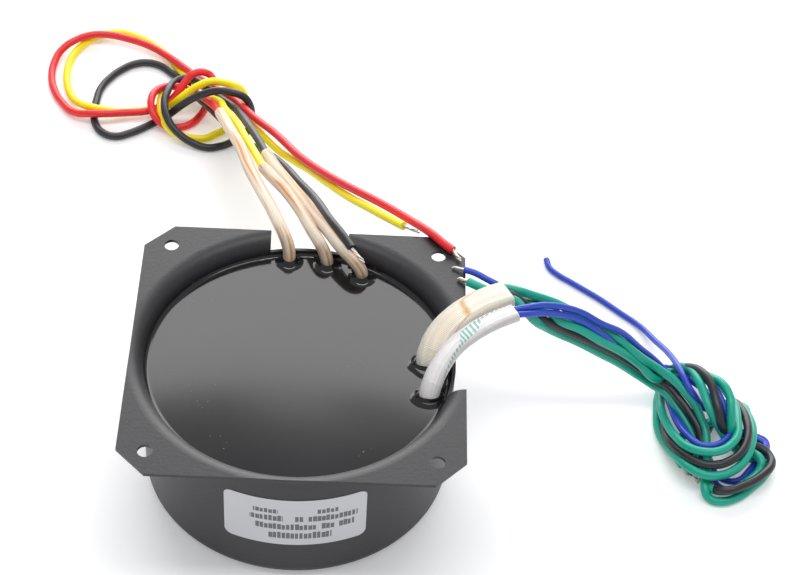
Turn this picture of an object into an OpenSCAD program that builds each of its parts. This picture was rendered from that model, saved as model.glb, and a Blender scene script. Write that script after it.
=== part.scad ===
// Potted toroidal transformer: a wound core set in black resin, in a pressed steel can
// with a square flange round its mouth. Its eight leads leave through two notches.
// Millimetres. The closed end of the can stands on Z = 0, and its axis is the Z axis.

/* [Can] */
// Width of the square flange, across its flats
flange_w = 100; // [90:1:125]
// Leg of the flange's cut corners
flange_chamfer = 8.8; // [2:0.2:12]
// Thickness of the pressed sheet
sheet_t = 1; // [0.6:0.1:1.4]
// How far the flange stands out past the can's wall, at the middle of a side
flange_rim = 2.9; // [1:0.1:6]
// Height of the can, from its closed end to the flange's face
can_h = 49; // [47:1:60]
// Inner radius of the rounded mouth, where the wall turns into the flange
mouth_r = 5.5; // [3:0.5:7]
// Outer radius of the corner round the closed end
base_r = 4; // [2:0.5:8]

/* [Holes and notches] */
// Distance from the flange's edges to the middle of each bolt hole
hole_inset = 8.4; // [6:0.2:12]
// Diameter of the bolt holes
hole_d = 4.5; // [3:0.1:5.5]
// Width of each notch for the leads
notch_w = 24.4; // [20:0.4:30]
// Depth of the notches below the flange's face
notch_depth = 4.6; // [3:0.2:6]
// How far each notch is off the middle of its side
notch_offset = 1.2; // [0:0.2:3]

/* [Resin] */
// Depth of the resin's surface below the flange's face
resin_drop = 6.5; // [5.5:0.5:8]
// Height to which the resin creeps up the wall
creep_h = 1.4; // [0.4:0.2:2]
// Height of the collar of resin round each sleeve
collar_h = 0.9; // [0.3:0.1:1.2]
// How far the foot of a collar stands out from its sleeve
collar_w = 1.6; // [0.6:0.2:2]

/* [Wound core] */
// Resin between the finished winding and the can's wall
core_clearance = 5.2; // [1:0.2:8]
// Build of the strip-wound core, from its hole to its outside
core_build = 16; // [10:1:20]
// Height of the core
core_h = 26; // [16:1:26]
// Resin under the wound core
core_gap = 1.8; // [0.5:0.1:3]
// Thickness of the insulation on the core
core_wrap_t = 0.4; // [0.2:0.1:0.6]
// Thickness of the primary winding
primary_t = 1.6; // [0.8:0.1:1.6]
// Thickness of the insulation over the primary winding
primary_wrap_t = 0.3; // [0.1:0.1:0.5]
// Thickness of the 30 V secondary winding
secondary_t = 1.2; // [0.6:0.1:1.2]
// Thickness of the insulation over the 30 V winding
secondary_wrap_t = 0.3; // [0.1:0.1:0.5]
// Thickness of the 6 V secondary winding
auxiliary_t = 0.6; // [0.4:0.1:0.8]
// Thickness of the outer insulation
outer_wrap_t = 0.5; // [0.2:0.1:0.6]

/* [Label] */
// Length of the label round the can
label_len = 43; // [20:1:60]
// Height of the label
label_h = 20.5; // [10:0.5:24]
// Thickness of the label
label_t = 0.15; // [0.1:0.05:0.3]
// Height of the label's middle above the closed end
label_z = 25.6; // [20:0.2:30]
// Angle of the label's middle from the front of the can
label_turn = 1.8; // [-30:0.2:30]
// Radius of the label's corners
label_corner_r = 2.4; // [0.5:0.1:4]

/* [Leads] */
// Diameter of the seven thick and medium leads' insulation: primary and 30 V leads
lead_d = 2.8; // [2.2:0.1:3]
// Diameter of the 6 V leads' insulation
thin_lead_d = 2.1; // [1.6:0.1:2.2]
// Diameter of the tinned strands of a thick lead
strand_d = 1.2; // [0.8:0.1:1.4]
// Diameter of the tinned strands of a thin lead
thin_strand_d = 0.9; // [0.5:0.1:1]
// Bore of the round primary sleeves
sleeve_bore_d = 3.1; // [3:0.1:3.6]
// Wall of the round primary sleeves
sleeve_wall = 0.45; // [0.3:0.05:0.8]
// Wall of the two flat secondary sleeves
flat_wall = 0.45; // [0.3:0.05:0.6]
// Width of the bore of the wide flat sleeve
wide_bore_w = 8.7; // [8.6:0.1:10]
// Height of the bore of the wide flat sleeve
wide_bore_h = 3.1; // [3:0.1:4]
// Width of the bore of the striped flat sleeve
striped_bore_w = 5.4; // [4.6:0.1:8]
// Height of the bore of the striped flat sleeve
striped_bore_h = 2.4; // [2.2:0.1:3]

/* [Hidden] */
$fn = 96;

can_d = flange_w - 2 * flange_rim;
wall_r = can_d / 2;
hole_pitch = flange_w - 2 * hole_inset;
bore_r = wall_r - sheet_t;
mouth_edge_r = bore_r + mouth_r;
mouth_z = can_h - mouth_r;
resin_z = can_h - resin_drop;
core_z = sheet_t + core_gap + outer_wrap_t + auxiliary_t + secondary_wrap_t + secondary_t
    + primary_wrap_t + primary_t + core_wrap_t;

// Each layer on the core, as its distance out from the core's own surface
core_wrap_out = core_wrap_t;
primary_out = core_wrap_out + primary_t;
primary_wrap_out = primary_out + primary_wrap_t;
secondary_out = primary_wrap_out + secondary_t;
secondary_wrap_out = secondary_out + secondary_wrap_t;
auxiliary_out = secondary_wrap_out + auxiliary_t;
outer_wrap_out = auxiliary_out + outer_wrap_t;

// The core fills what the winding, its insulation and the clearance leave of the can
core_d = 2 * (bore_r - core_clearance - outer_wrap_out);
core_hole_d = core_d - 2 * core_build;

// How far past a face a cut runs, so that the cut is clean
past = 1;
// Sides of the leads' and sleeves' tubes
tube_sides = 8;

// The radius of the wall that the leads' routes are drawn for. The primary leads move to the
// rear and the secondary leads to the side with the can's wall.
drawn_wall_r = 47.1;
rear = [0, wall_r - drawn_wall_r, 0];
side = [wall_r - drawn_wall_r, 0, 0];

// Routes of the leads. Each list runs from the foot of the sleeve to the knot, round the
// loop behind the knot, or from the knot to the tinned end.
red_rise = [
    [-5, 43, 39.5], [-5, 43, 43], [-5.3, 44.5, 46.8], [-6.5, 47.5, 48.4], [-8.5, 53, 48.2],
    [-12, 63.5, 46], [-16.5, 77.5, 41.5], [-21, 92, 37], [-25, 108.5, 31], [-29.5, 123.5, 25],
    [-34.5, 140.5, 18]
];
red_loop = [
    [-55, 158, 4.2], [-60, 156.5, 4.4], [-72, 153.5, 4.5], [-81, 152.5, 4.5], [-89, 155, 2.5], [-94.5, 161.5, 1.5],
    [-98, 168, 1.5], [-100, 175.5, 1.5], [-100, 183, 2], [-98, 189.5, 3], [-93.5, 194, 4.2],
    [-87.5, 197.5, 4.4], [-81.5, 198, 4.4], [-75, 196.5, 4.4], [-65, 192, 4.6], [-57, 185.5, 5],
    [-50.5, 179, 5.4], [-46, 173.5, 6.5]
];
red_end = [
    [-27, 148.5, 14], [-22, 138.5, 18], [-14, 125, 23], [-4.5, 107, 29], [4.5, 93, 34.5],
    [13, 82, 39], [23, 70.5, 43.5], [32.5, 59, 47.5], [39.5, 50, 50.4], [43, 46, 50.5],
    [46, 43, 50.5]
];
red_tip_end = [48.5, 39, 49.8];

yellow_rise = [
    [7, 42, 39.5], [7, 42, 43], [6.3, 42.8, 46.4], [4.8, 45, 48.2], [1.8, 51.3, 48.2],
    [-2.5, 62.3, 46.5], [-7.5, 74, 43.5], [-12, 83.5, 40], [-16, 92.5, 36.5]
];
yellow_run = [
    [-20, 105.5, 31.5], [-24, 118.5, 26.5], [-28, 131, 22], [-33, 143, 17.5]
];
yellow_loop = [
    [-55, 160.5, 1.8], [-60, 160, 1.8], [-71, 157.5, 1.8], [-77, 156.3, 3], [-82.5, 156, 4.4], [-87.5, 159.5, 3],
    [-91.5, 165.5, 1.5], [-93.5, 171, 1.5], [-94.5, 177, 1.5], [-94.5, 183.5, 1.5],
    [-93.5, 189, 1.5], [-91, 194.5, 1.5], [-87.5, 199, 1.5], [-83, 202, 1.5],
    [-77.5, 203, 1.5], [-71, 201, 1.5], [-63.5, 196, 1.5], [-58, 190, 1.5],
    [-53.5, 182, 2.2], [-48.5, 174, 3.8]
];
yellow_end = [
    [-26.5, 146, 11.5], [-20.5, 134, 16], [-16.5, 126, 18.5], [-12, 118, 21],
    [-6.5, 109.5, 24.5], [-1, 101.5, 28], [6, 90.5, 32.2], [13, 79.5, 36.8], [19.5, 70.5, 41],
    [26, 61.5, 45.2], [30.5, 55.5, 48]
];
yellow_tip_end = [35.5, 51, 49.9];

black_rise = [
    [18, 37.3, 39.5], [18, 37.3, 43], [17.5, 37, 46], [15.5, 38.3, 48.3], [11.5, 42.8, 49.2],
    [6.5, 51.2, 49], [2, 59.8, 47.3], [-2, 68.5, 45], [-8, 83.5, 39.5], [-11.5, 93, 35.5],
    [-16, 106, 30.5]
];
black_run = [
    [-20, 118, 27], [-24, 129.5, 23], [-27.5, 140, 18.5], [-31, 149, 14]
];
black_loop = [
    [-55, 153.5, 2], [-59.5, 152.5, 1.5], [-63, 149.5, 1.5], [-68, 146, 1.5], [-73, 144, 1.5], [-77.5, 145.5, 1.5],
    [-80.5, 149.5, 1.5], [-82, 156, 1.5], [-82, 162.5, 1.5], [-81, 170.5, 1.5], [-78, 177, 1.5],
    [-74, 182, 1.5], [-70, 185, 1.5], [-65.5, 186, 1.5], [-60.5, 184.5, 1.5],
    [-56, 180.5, 1.5], [-51.5, 175, 2.8], [-48, 169, 4]
];
black_end = [
    [-32, 140.5, 12], [-27, 129.5, 16], [-23, 123, 19], [-18, 115, 23.5], [-13, 106, 28.5],
    [-7.5, 93.5, 34.5], [-4, 84, 38.8], [0.5, 73.5, 43.3], [4, 63.5, 47.6], [7, 55, 50.3],
    [11, 47.5, 51.4], [14.5, 41.2, 51.2]
];
black_tip_end = [18.5, 37.5, 48.6];

wide_rise = [
    [39.8, 1.5, 39.5], [39.8, 1.5, 43.5], [40.5, 4, 46.5], [43, 8.5, 49.5], [47.5, 13, 51.8],
    [52, 17, 52.2], [57, 20.5, 52.2], [62.5, 23.5, 52]
];
striped_rise = [
    [39.2, -11.5, 39.5], [39.2, -11.5, 43.5], [40, -9, 46], [42, -4.5, 48.2],
    [46, 1.5, 50.5], [51, 6, 52], [57.5, 10.5, 53], [64.5, 14.5, 53.2]
];
green_1_run = [
    [66, 25.8, 51.2], [70, 26, 49.5], [74.5, 26.8, 47], [79.5, 27.5, 44], [86, 27, 40],
    [93, 27, 35], [100, 26.3, 30], [107, 26, 23.5], [113, 26.5, 18]
];
tap_run = [
    [67, 22, 50.3], [70.5, 21.5, 47], [74.5, 21, 43.7], [79.5, 21.7, 40], [86, 22, 36],
    [93, 23, 31], [100, 24.5, 25], [107, 26.4, 17.7], [113, 27, 12.2]
];
green_2_run = [
    [68.5, 18.3, 49.6], [71.5, 18.2, 46], [75, 20.8, 40.9], [79.5, 22, 37], [86, 22.5, 33],
    [93, 23, 28], [100, 24.5, 22], [107, 26.3, 14.8], [113, 27, 9.3]
];
blue_1_run = [
    [69.5, 17.5, 53], [74, 20, 51.3], [79.5, 22.3, 48.5], [86, 24.5, 44.2], [93, 25.2, 38.8],
    [100, 27.3, 33], [107, 28.8, 24.5], [113, 29.3, 18]
];
blue_2_run = [
    [69.5, 15.3, 52.2], [74, 18.2, 49.8], [79.5, 21, 46.5], [86, 23, 42], [93, 23.7, 35.8],
    [97, 24.4, 31.2], [100, 26.6, 26.7], [107, 29.3, 20.6], [113, 29.8, 15.1]
];
green_1_end = [
    [113, 25, 14.5], [107, 25.5, 20.5], [100, 23.9, 28], [93, 22.3, 34], [86, 22, 39.3],
    [79.5, 21.7, 43], [77, 22.9, 44.4], [74.5, 24, 45.3], [70, 25.5, 46.2], [64, 26, 47.4],
    [59, 26.5, 48.7], [55, 27.5, 50], [50.5, 29.5, 50.6]
];
green_1_tip_end = [47.5, 31.5, 49.7];
blue_1_end = [
    [113, 29.5, 12.7], [107, 29, 18.2], [100, 28, 25], [93, 26, 32.5], [86, 25.5, 38],
    [79.5, 25.7, 41.8], [76.5, 26.5, 43.4], [72, 28.3, 44.9], [67, 29, 46.6], [62, 29.8, 48.2],
    [57.5, 31.5, 49.3], [52.5, 34, 50.1], [49.5, 35, 50.2]
];
blue_1_tip_end = [45.8, 36.5, 49.6];
blue_2_end = [
    [121, 32, 9.5], [119, 41, 6], [116, 51.5, 3], [112, 60, 1.3], [105.5, 66.5, 1.1],
    [99, 72.5, 1.1], [94, 76.5, 1.1], [89.5, 80, 1.1], [85, 83.5, 1.1], [82.5, 86.5, 1.1],
    [81.5, 90.5, 1.1]
];
blue_2_tip_end = [81, 94.5, 0.6];
// The centre tap and the second green lead end under the knot
tap_end = [[126, 8, 1.5], [123.5, 4, 1.5], [124, 0.5, 1.5], [124.8, -2.5, 1.5]];
tap_tip_end = [126, -6, 0.7];
green_2_end = [[122, 11, 3], [119.5, 7.5, 1.5], [120, 4, 1.5], [121.5, 0.5, 1.5]];
green_2_tip_end = [123, -3, 0.7];

// The knots' outer shapes, as the middles and radii of the round lumps that they are made of
primary_lumps = [
    [-52, 160, 8, 8], [-49, 149.5, 8, 8], [-33, 149.5, 9, 9], [-35.5, 160, 9, 9],
    [-46, 168, 7, 7]
];
secondary_lumps = [
    [122, 31, 10, 9], [121.5, 15, 8, 8], [132, 3, 8, 8], [139, 14, 9, 9], [133, 31, 10, 9]
];
tail_lumps = [
    [130, -10, 3, 3], [136, -11, 3, 3], [148, 2, 3, 3], [145, 9, 3, 3], [130, 0, 3, 3]
];

RED = [0.86, 0.13, 0.14];
YELLOW = [0.98, 0.82, 0.05];
BLACK = [0.12, 0.12, 0.13];
GREEN = [0.05, 0.6, 0.46];
BLUE = [0.12, 0.24, 0.8];

// Which way the section of each tube faces, at its start and its end: a direction that the
// tube never runs along
SIDEWAYS = [[1, 0, 0], [1, 0, 0]];
UPRIGHT = [[0, 0, 1], [0, 0, 1]];
WIDE_FACING = [[1, 0, 0], [0.54, -0.84, 0]];
STRIPED_FACING = [[1, 0.1, 0], [0.45, -0.89, 0]];

// ---- Swept tubes ----

function unit(v) = v / norm(v);

function tangent(path, i) = unit(path[min(i + 1, len(path) - 1)] - path[max(i - 1, 0)]);

// The direction across the tube at point i, square to its run
function across(path, i, facing) =
    let (
        t = tangent(path, i),
        share = i / (len(path) - 1),
        wish = facing[0] * (1 - share) + facing[1] * share
    )
    unit(wish - (wish * t) * t);

function ring_points(path, i, facing, section) =
    let (
        s = across(path, i, facing),
        u = cross(tangent(path, i), s)
    )
    [for (q = section) path[i] + q[0] * s + q[1] * u];

function all_rings(path, facing, section) =
    [for (i = [0 : len(path) - 1]) each ring_points(path, i, facing, section)];

// A point moved across its tube by d, such as one of several leads in a sleeve
function beside(path, facing, d) =
    [for (i = [0 : len(path) - 1]) path[i] + d * across(path, i, facing)];

function round_section(r) =
    [for (k = [0 : tube_sides - 1]) r * [cos(360 * (k + 0.5) / tube_sides), sin(360 * (k + 0.5) / tube_sides)]];

// A flat section with half-round ends, of half width w and half height h
function flat_section(w, h) =
    [for (end = [0, 1]) for (k = [0 : 4])
        let (a = -90 + 180 * end + 45 * k)
        [(end == 0 ? 1 : -1) * (w - h) + h * cos(a), h * sin(a)]];

// One band of faces round a tube, from ring i to the next; first is its first point's number
function band(first, n, i, outward) =
    [for (j = [0 : n - 1])
        let (
            a = first + i * n + j,
            b = first + i * n + (j + 1) % n
        )
        outward ? [a, a + n, b + n, b] : [a, b, b + n, a + n]];

// A solid tube along path
module swept(path, facing, section) {
    n = len(section);
    last = len(path) - 1;
    start_cap = [for (j = [0 : n - 1]) j];
    end_cap = [for (j = [n - 1 : -1 : 0]) last * n + j];
    sides = [for (i = [0 : last - 1]) each band(0, n, i, true)];
    polyhedron(all_rings(path, facing, section), concat([start_cap, end_cap], sides));
}

// A hollow tube along path, whose two sections have the same number of points
module swept_sleeve(path, facing, outer, inner) {
    n = len(outer);
    last = len(path) - 1;
    bore = len(path) * n;
    walls = [for (i = [0 : last - 1]) each concat(band(0, n, i, true), band(bore, n, i, false))];
    foot = [for (j = [0 : n - 1]) let (k = (j + 1) % n) [j, k, bore + k, bore + j]];
    mouth = [for (j = [0 : n - 1])
        let (k = (j + 1) % n, a = last * n)
        [a + k, a + j, bore + a + j, bore + a + k]];
    polyhedron(
        concat(all_rings(path, facing, outer), all_rings(path, facing, inner)),
        concat(foot, mouth, walls)
    );
}

// A straight round rod from one point to another
module rod(from, to, d) {
    run = to - from;
    translate(from)
        rotate([0, acos(run[2] / norm(run)), atan2(run[1], run[0])])
            cylinder(h = norm(run), d = d, $fn = 24);
}

module lead_tube(path, facing, d, at) {
    translate(at) swept(path, facing, round_section(d / 2));
}

// ---- Can ----

// The can's section, from its axis to past the flange's corners
module can_section() {
    out_r = flange_w;
    difference() {
        union() {
            translate([0, base_r]) square([wall_r, can_h - base_r]);
            square([wall_r - base_r, base_r + past]);
            translate([wall_r - base_r, base_r]) circle(base_r);
            translate([0, can_h - sheet_t]) square([out_r, sheet_t]);
            // the outside of the rounded mouth
            difference() {
                translate([0, mouth_z]) square([mouth_edge_r, mouth_r]);
                translate([mouth_edge_r, mouth_z]) circle(mouth_r - sheet_t);
            }
        }
        // the hollow
        translate([-past, base_r]) square([bore_r + past, can_h]);
        translate([-past, sheet_t]) square([wall_r - base_r + past, can_h]);
        translate([wall_r - base_r, base_r]) circle(base_r - sheet_t);
        // the inside of the rounded mouth
        difference() {
            translate([0, mouth_z]) square([mouth_edge_r, mouth_r + past]);
            translate([mouth_edge_r, mouth_z]) circle(mouth_r);
        }
        translate([-out_r, -past]) square([out_r, can_h + 2 * past]);
    }
}

// The flange's outline: a square with cut corners
module flange_outline() {
    h = flange_w / 2;
    c = h - flange_chamfer;
    polygon([[-c, -h], [c, -h], [h, -c], [h, c], [c, h], [-c, h], [-h, c], [-h, -c]]);
}

// The cut of one notch, in the middle of the rear side
module notch_cut() {
    translate([notch_offset - notch_w / 2, wall_r - 4 * sheet_t - mouth_r, can_h - notch_depth])
        cube([notch_w, flange_w / 2, notch_depth + past]);
}

module can() {
    color([0.16, 0.16, 0.17]) difference() {
        intersection() {
            rotate_extrude() can_section();
            translate([0, 0, -past]) linear_extrude(can_h + 2 * past) flange_outline();
        }
        for (x = [-1, 1]) for (y = [-1, 1])
            translate([x * hole_pitch / 2, y * hole_pitch / 2, can_h - sheet_t - past])
                cylinder(h = sheet_t + 2 * past, d = hole_d);
        notch_cut();
        rotate([0, 0, -90]) notch_cut();
    }
}

// ---- Wound core ----

// A rounded box section with its corners rounded to r
module soft_rectangle(w, h, r) {
    translate([r, 0]) square([w - 2 * r, h]);
    translate([0, r]) square([w, h - 2 * r]);
    for (x = [r, w - r]) for (y = [r, h - r]) translate([x, y]) circle(r);
}

// The section of the core with all that is wound on it up to the distance out
module wound_section(out) {
    translate([core_hole_d / 2 - out, core_z - out])
        soft_rectangle(core_build + 2 * out, core_h + 2 * out, out);
}

module wound_layer(from, to) {
    rotate_extrude() difference() {
        wound_section(to);
        if (from > 0) {
            wound_section(from);
        } else {
            core_section();
        }
    }
}

module core_section() {
    translate([core_hole_d / 2, core_z]) square([core_build, core_h]);
}

module core() {
    color([0.45, 0.46, 0.48]) rotate_extrude() core_section();
}

module core_wrap() {
    color([0.9, 0.85, 0.6]) wound_layer(0, core_wrap_out);
}

module primary_winding() {
    color([0.72, 0.36, 0.16]) wound_layer(core_wrap_out, primary_out);
}

module primary_wrap() {
    color([0.92, 0.88, 0.66]) wound_layer(primary_out, primary_wrap_out);
}

module secondary_winding() {
    color([0.76, 0.4, 0.18]) wound_layer(primary_wrap_out, secondary_out);
}

module secondary_wrap() {
    color([0.92, 0.88, 0.66]) wound_layer(secondary_out, secondary_wrap_out);
}

module auxiliary_winding() {
    color([0.7, 0.34, 0.15]) wound_layer(secondary_wrap_out, auxiliary_out);
}

module outer_wrap() {
    color([0.95, 0.9, 0.5]) wound_layer(auxiliary_out, outer_wrap_out);
}

// ---- Resin ----

function sleeve_r() = sleeve_bore_d / 2 + sleeve_wall;

// The resin's section: it fills the can and creeps up its wall
module resin_section() {
    difference() {
        union() {
            translate([0, base_r]) square([bore_r, resin_z + creep_h - base_r]);
            translate([0, sheet_t]) square([wall_r - base_r, resin_z - sheet_t]);
            intersection() {
                translate([wall_r - base_r, base_r]) circle(base_r - sheet_t);
                translate([0, sheet_t]) square([wall_r, base_r]);
            }
        }
        translate([-past, resin_z]) square([bore_r - creep_h + past, creep_h + past]);
        translate([bore_r - creep_h, resin_z + creep_h]) circle(creep_h);
    }
}

// The flat sleeve's foot in the resin, w wide and h high in section, as a straight pocket
module flat_pocket(path, facing, w, h) {
    s = across(path, 0, facing);
    translate(path[0])
        rotate([0, 0, atan2(s[1], s[0])])
            linear_extrude(can_h) union() {
                square([w - h, h], center = true);
                for (x = [-1, 1]) translate([x * (w - h) / 2, 0]) circle(d = h);
            }
}

// The raised ring of resin round a foot of radius r
module collar(x, y, r) {
    translate([x, y, resin_z]) cylinder(h = collar_h, r1 = r + collar_w, r2 = r + collar_w / 4);
}

module potting_resin() {
    wide_w = wide_bore_w + 2 * flat_wall;
    wide_h = wide_bore_h + 2 * flat_wall;
    striped_w = striped_bore_w + 2 * flat_wall;
    striped_h = striped_bore_h + 2 * flat_wall;
    color([0.07, 0.065, 0.065]) difference() {
        union() {
            rotate_extrude() resin_section();
            intersection() {
                union() {
                    translate(rear) for (path = [red_rise, yellow_rise, black_rise])
                        collar(path[0][0], path[0][1], sleeve_r());
                    translate(side) collar(wide_rise[0][0], wide_rise[0][1], wide_w / 2);
                    translate(side) collar(striped_rise[0][0], striped_rise[0][1], striped_w / 2);
                }
                cylinder(h = can_h, r = bore_r);
            }
        }
        rotate_extrude() wound_section(outer_wrap_out);
        translate(rear) for (path = [red_rise, yellow_rise, black_rise])
            translate(path[0]) cylinder(h = can_h, r = sleeve_r());
        translate(side) flat_pocket(wide_rise, WIDE_FACING, wide_w, wide_h);
        translate(side) flat_pocket(striped_rise, STRIPED_FACING, striped_w, striped_h);
    }
}

// ---- Label ----

module rating_label() {
    half_w = wall_r * sin(label_len / wall_r * 90 / PI);
    color([0.86, 0.87, 0.88]) rotate([0, 0, label_turn]) intersection() {
        difference() {
            translate([0, 0, label_z - label_h / 2]) cylinder(h = label_h, r = wall_r + label_t, $fn = 180);
            translate([0, 0, label_z - label_h]) cylinder(h = 2 * label_h, r = wall_r, $fn = 180);
        }
        translate([-half_w, 0, label_z - label_h / 2])
            rotate([90, 0, 0])
                linear_extrude(can_d)
                    soft_rectangle(2 * half_w, label_h, label_corner_r);
    }
}

// ---- Sleeves ----

module round_sleeve(path) {
    translate(rear) swept_sleeve(path, SIDEWAYS, round_section(sleeve_r()), round_section(sleeve_bore_d / 2));
}

module flat_sleeve(path, facing, bore_w, bore_h) {
    translate(side) swept_sleeve(
        path, facing,
        flat_section(bore_w / 2 + flat_wall, bore_h / 2 + flat_wall),
        flat_section(bore_w / 2, bore_h / 2)
    );
}

module primary_sleeve_red() {
    color([0.9, 0.78, 0.62]) round_sleeve(red_rise);
}

module primary_sleeve_yellow() {
    color([0.9, 0.76, 0.56]) round_sleeve(yellow_rise);
}

module primary_sleeve_black() {
    color([0.88, 0.78, 0.64]) round_sleeve(black_rise);
}

module secondary_sleeve_wide() {
    color([0.94, 0.89, 0.76]) flat_sleeve(wide_rise, WIDE_FACING, wide_bore_w, wide_bore_h);
}

module secondary_sleeve_striped() {
    color([0.93, 0.94, 0.92]) flat_sleeve(striped_rise, STRIPED_FACING, striped_bore_w, striped_bore_h);
}

// ---- Leads ----

// The middles of the leads in the flat sleeves are this far apart
wide_pitch = lead_d + 0.05;
thin_pitch = thin_lead_d + 0.1;

// A lead of the wide sleeve: it lies d beside the sleeve's middle, then runs on to the knot
function from_wide(d, run) = concat(beside(wide_rise, WIDE_FACING, d), run);

function from_striped(d, run) = concat(beside(striped_rise, STRIPED_FACING, d), run);

// Each lead is a tube up to its knot, a tube round the loop behind the knot where it has one,
// and a tube from the knot to its tinned end
module red_lead() {
    color(RED) lead_tube(red_rise, SIDEWAYS, lead_d, rear);
}

module red_lead_loop() {
    color(RED) lead_tube(red_loop, UPRIGHT, lead_d, rear);
}

module red_lead_end() {
    color(RED) lead_tube(red_end, UPRIGHT, lead_d, rear);
}

module yellow_lead() {
    color(YELLOW) lead_tube(concat(yellow_rise, yellow_run), SIDEWAYS, lead_d, rear);
}

module yellow_lead_loop() {
    color(YELLOW) lead_tube(yellow_loop, UPRIGHT, lead_d, rear);
}

module yellow_lead_end() {
    color(YELLOW) lead_tube(yellow_end, UPRIGHT, lead_d, rear);
}

module black_lead() {
    color(BLACK) lead_tube(concat(black_rise, black_run), SIDEWAYS, lead_d, rear);
}

module black_lead_loop() {
    color(BLACK) lead_tube(black_loop, UPRIGHT, lead_d, rear);
}

module black_lead_end() {
    color(BLACK) lead_tube(black_end, UPRIGHT, lead_d, rear);
}

module green_lead_1() {
    color(GREEN) lead_tube(from_wide(-wide_pitch, green_1_run), WIDE_FACING, lead_d, side);
}

module green_lead_1_end() {
    color(GREEN) lead_tube(green_1_end, UPRIGHT, lead_d, side);
}

module centre_tap_lead() {
    color(BLACK) lead_tube(from_wide(0, tap_run), WIDE_FACING, lead_d, side);
}

module centre_tap_lead_end() {
    color(BLACK) lead_tube(tap_end, UPRIGHT, lead_d, side);
}

module green_lead_2() {
    color(GREEN) lead_tube(from_wide(wide_pitch, green_2_run), WIDE_FACING, lead_d, side);
}

module green_lead_2_end() {
    color(GREEN) lead_tube(green_2_end, UPRIGHT, lead_d, side);
}

module blue_lead_1() {
    color(BLUE) lead_tube(from_striped(-thin_pitch / 2, blue_1_run), STRIPED_FACING, thin_lead_d, side);
}

module blue_lead_1_end() {
    color(BLUE) lead_tube(blue_1_end, UPRIGHT, thin_lead_d, side);
}

module blue_lead_2() {
    color(BLUE) lead_tube(from_striped(thin_pitch / 2, blue_2_run), STRIPED_FACING, thin_lead_d, side);
}

module blue_lead_2_end() {
    color(BLUE) lead_tube(blue_2_end, UPRIGHT, thin_lead_d, side);
}

// ---- Tinned ends ----

// The bare end of a lead whose last stretch is path
module bare_tip(path, to, d, at) {
    color([0.78, 0.78, 0.76]) translate(at) rod(path[len(path) - 1], to, d);
}

module red_tip() {
    bare_tip(red_end, red_tip_end, strand_d, rear);
}

module yellow_tip() {
    bare_tip(yellow_end, yellow_tip_end, strand_d, rear);
}

module black_tip() {
    bare_tip(black_end, black_tip_end, strand_d, rear);
}

module green_tip_1() {
    bare_tip(green_1_end, green_1_tip_end, strand_d, side);
}

module centre_tap_tip() {
    bare_tip(tap_end, tap_tip_end, strand_d, side);
}

module green_tip_2() {
    bare_tip(green_2_end, green_2_tip_end, strand_d, side);
}

module blue_tip_1() {
    bare_tip(blue_1_end, blue_1_tip_end, thin_strand_d, side);
}

module blue_tip_2() {
    bare_tip(blue_2_end, blue_2_tip_end, thin_strand_d, side);
}

// ---- Knots ----

module lumps(list) {
    hull() for (q = list) translate([q[0], q[1], q[2]]) sphere(q[3], $fn = 32);
}

module primary_knot() {
    color([0.35, 0.2, 0.12]) difference() {
        translate(rear) lumps(primary_lumps);
        red_lead();
        red_lead_loop();
        red_lead_end();
        yellow_lead();
        yellow_lead_loop();
        yellow_lead_end();
        black_lead();
        black_lead_loop();
        black_lead_end();
    }
}

module secondary_knot() {
    color([0.08, 0.3, 0.28]) difference() {
        translate(side) union() {
            lumps(secondary_lumps);
            lumps(tail_lumps);
        }
        green_lead_1();
        green_lead_1_end();
        centre_tap_lead();
        centre_tap_lead_end();
        green_lead_2();
        green_lead_2_end();
        blue_lead_1();
        blue_lead_1_end();
        blue_lead_2();
        blue_lead_2_end();
    }
}

can();
potting_resin();
core();
core_wrap();
primary_winding();
primary_wrap();
secondary_winding();
secondary_wrap();
auxiliary_winding();
outer_wrap();
rating_label();
primary_sleeve_red();
primary_sleeve_yellow();
primary_sleeve_black();
secondary_sleeve_wide();
secondary_sleeve_striped();
red_lead();
red_lead_loop();
red_lead_end();
yellow_lead();
yellow_lead_loop();
yellow_lead_end();
black_lead();
black_lead_loop();
black_lead_end();
green_lead_1();
green_lead_1_end();
centre_tap_lead();
centre_tap_lead_end();
green_lead_2();
green_lead_2_end();
blue_lead_1();
blue_lead_1_end();
blue_lead_2();
blue_lead_2_end();
red_tip();
yellow_tip();
black_tip();
green_tip_1();
centre_tap_tip();
green_tip_2();
blue_tip_1();
blue_tip_2();
primary_knot();
secondary_knot();
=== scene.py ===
"""The looks of a potted toroidal transformer, its leads and the light that it stands in."""

import logging
import math
from dataclasses import dataclass, field
from enum import Enum
from typing import Any, Optional, Union

import bpy
from mathutils import Matrix, Vector


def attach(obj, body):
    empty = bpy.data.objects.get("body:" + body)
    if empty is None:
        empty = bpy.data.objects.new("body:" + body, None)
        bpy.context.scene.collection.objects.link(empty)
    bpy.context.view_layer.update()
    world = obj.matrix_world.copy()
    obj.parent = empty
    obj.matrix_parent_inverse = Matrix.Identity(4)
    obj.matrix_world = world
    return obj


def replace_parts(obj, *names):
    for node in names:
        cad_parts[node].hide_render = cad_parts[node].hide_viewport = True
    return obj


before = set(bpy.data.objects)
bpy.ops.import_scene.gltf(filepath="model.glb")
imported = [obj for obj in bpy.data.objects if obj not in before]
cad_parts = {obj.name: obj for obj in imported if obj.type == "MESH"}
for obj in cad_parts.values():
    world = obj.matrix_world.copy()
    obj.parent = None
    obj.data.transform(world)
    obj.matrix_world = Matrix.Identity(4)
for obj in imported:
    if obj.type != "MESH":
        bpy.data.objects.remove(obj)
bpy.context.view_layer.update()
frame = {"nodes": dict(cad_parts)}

log = logging.getLogger("transformer")

Point = tuple[float, float, float]
Number = Union[float, int, "Value"]
Colour = tuple[float, float, float]
MM = 0.001
TURN = 2 * math.pi


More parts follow.
